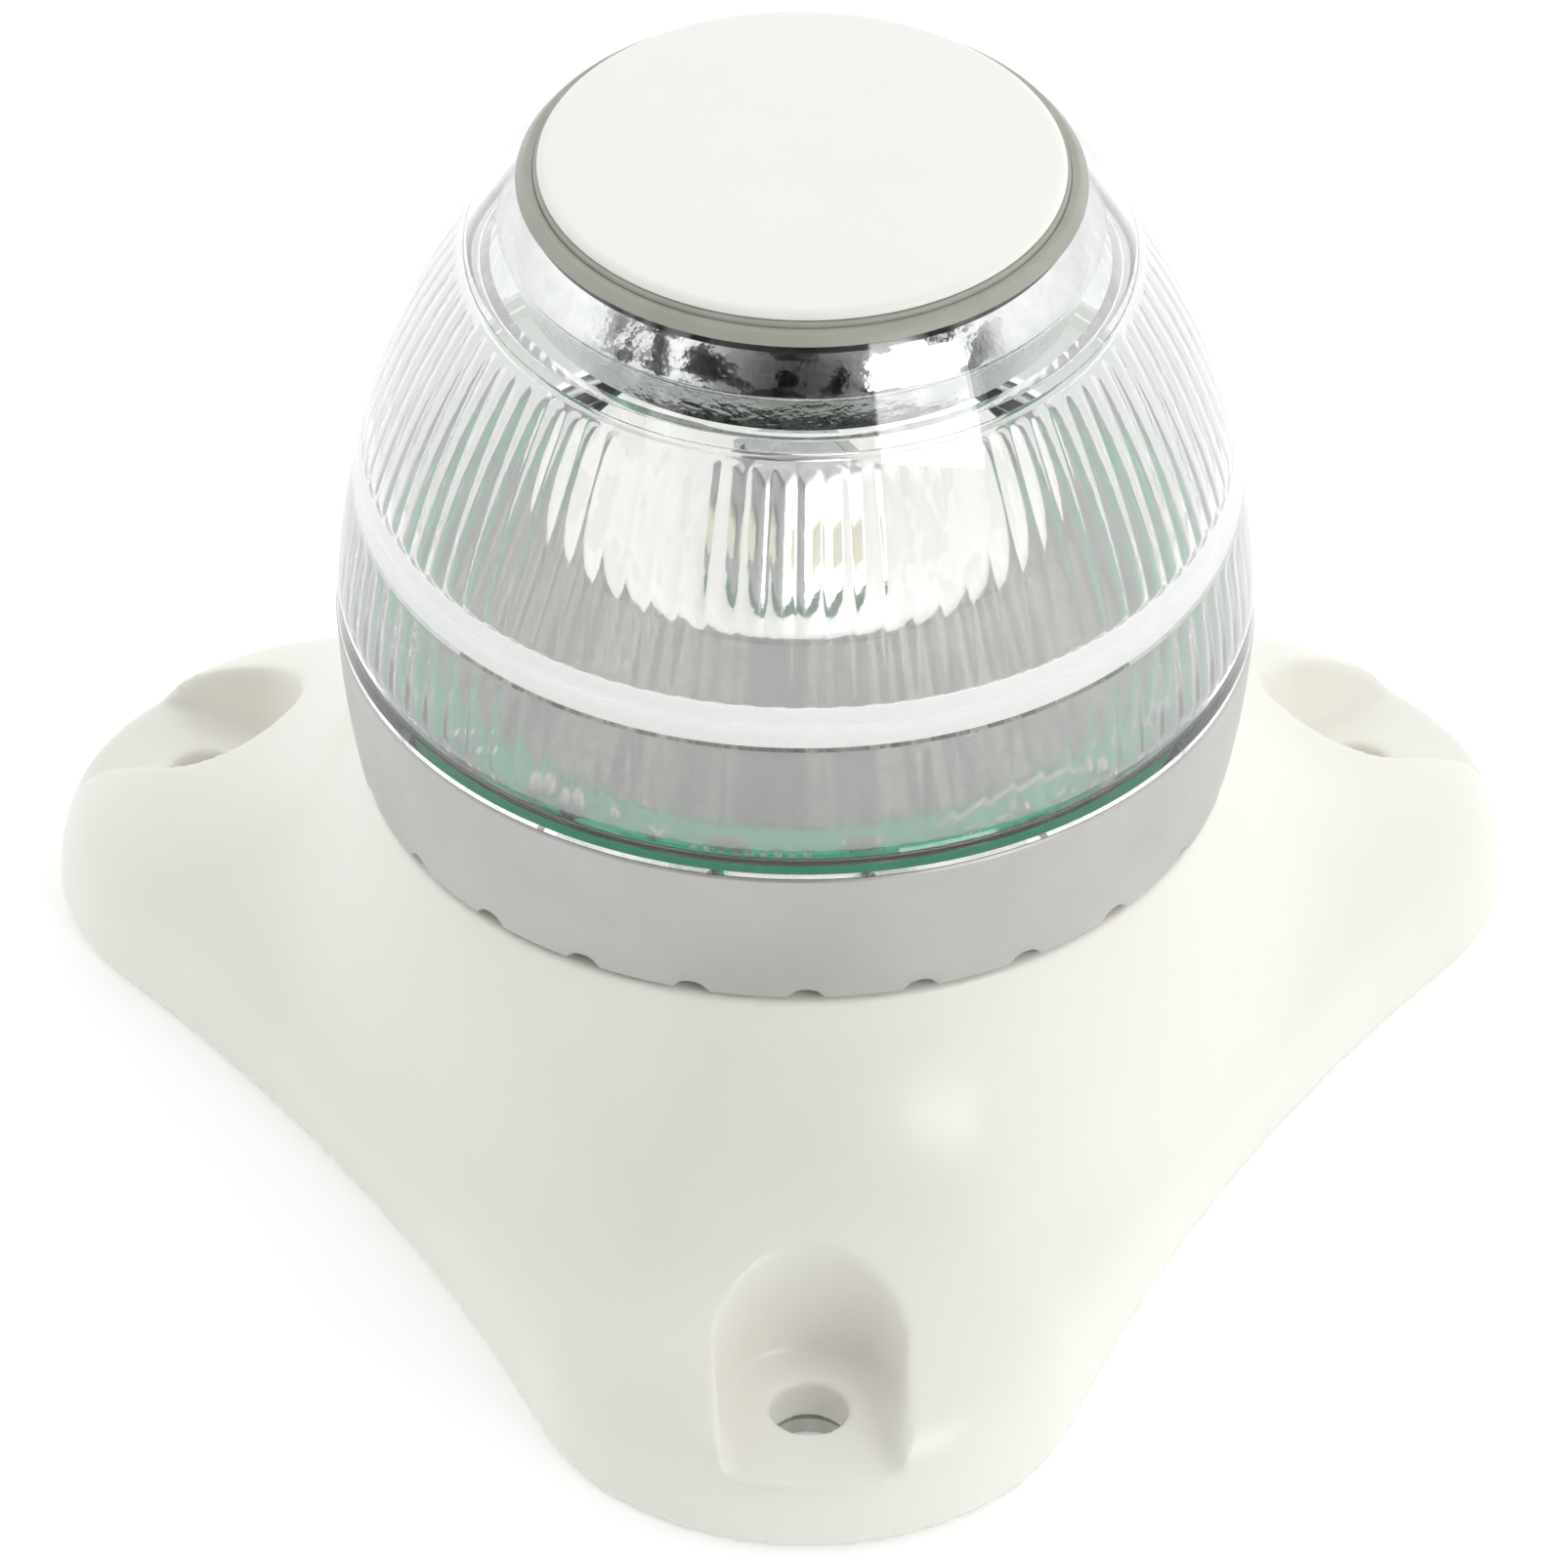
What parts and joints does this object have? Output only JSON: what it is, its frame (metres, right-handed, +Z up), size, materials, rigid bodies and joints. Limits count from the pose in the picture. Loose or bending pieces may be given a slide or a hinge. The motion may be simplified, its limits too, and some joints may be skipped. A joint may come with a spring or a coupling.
{
  "type": "navigation light",
  "caption": "Compact all-round marine navigation light: three-lobed screw-down base, quick-thread silver collar, clear ribbed lens dome, LED tower and reflectors.",
  "frame": {"origin": "on the light's axis, in the plane of the base's underside", "axes": "+Z up along the light's axis; the front lobe points to -Y; +X to the right"},
  "size_m": [0.1054, 0.0966, 0.077],
  "materials": {
    "white_plastic": "white UV-stable plastic, fine satin moulding",
    "clear_plastic": "clear polycarbonate, polished outside, ribbed inside",
    "satin_steel": "satin stainless steel",
    "chrome": "bright chrome on plastic",
    "silvered_plastic": "vacuum-silvered plastic",
    "board_green": "green solder mask on glass-fibre board",
    "led_board_white": "white solder mask",
    "led_phosphor": "pale yellow phosphor under clear resin",
    "aluminium": "extruded, plain",
    "screw_steel": "stainless steel",
    "black_rubber": "matt",
    "foam": "pale grey closed-cell foam",
    "black_plastic": "matt",
    "grey_plastic": "matt",
    "red_insulation": "satin PVC",
    "black_insulation": "satin PVC"
  },
  "bodies": {
    "base": {"mounting_base": "white_plastic", "deck_gasket": "foam", "threaded_neck": "white_plastic", "neck_o_ring": "black_rubber", "neck_screw_1": "screw_steel", "neck_screw_2": "screw_steel", "neck_screw_3": "screw_steel", "board_screw_1": "screw_steel", "board_screw_2": "screw_steel", "board_screw_3": "screw_steel", "cable_grommet": "black_rubber", "circuit_board": "board_green", "capacitor": "grey_plastic", "inductor": "black_plastic", "driver_chip": "black_plastic", "diode": "black_plastic", "lower_reflector": "silvered_plastic", "led_tower": "aluminium", "led_board_1": "led_board_white", "led_board_2": "led_board_white", "led_board_3": "led_board_white", "led_board_4": "led_board_white", "led_1": "led_phosphor", "led_2": "led_phosphor", "led_3": "led_phosphor", "led_4": "led_phosphor", "terminal_block": "grey_plastic", "terminal_screw_1": "screw_steel", "terminal_screw_2": "screw_steel", "positive_lead": "red_insulation", "negative_lead": "black_insulation"},
    "lens": {"lens_dome": "clear_plastic", "top_cap": "white_plastic", "cap_seal": "black_rubber", "top_reflector": "chrome"},
    "collar": {"collar_ring": "satin_steel"}
  },
  "joints": [
    {"name": "lens_lift", "type": "slide", "parent": "base", "child": "lens", "axis": [0, 0, 1], "range_m": [0, 0.036]},
    {"name": "collar_turn", "type": "hinge", "parent": "lens", "child": "collar", "pos_m": [0, 0, 0.0327], "axis": [0, 0, 1], "range_deg": [0, 360]}
  ],
  "couplings": [
    {"joint": "lens_lift", "follows": "collar_turn", "m_per_rad": 0.0057296}
  ]
}
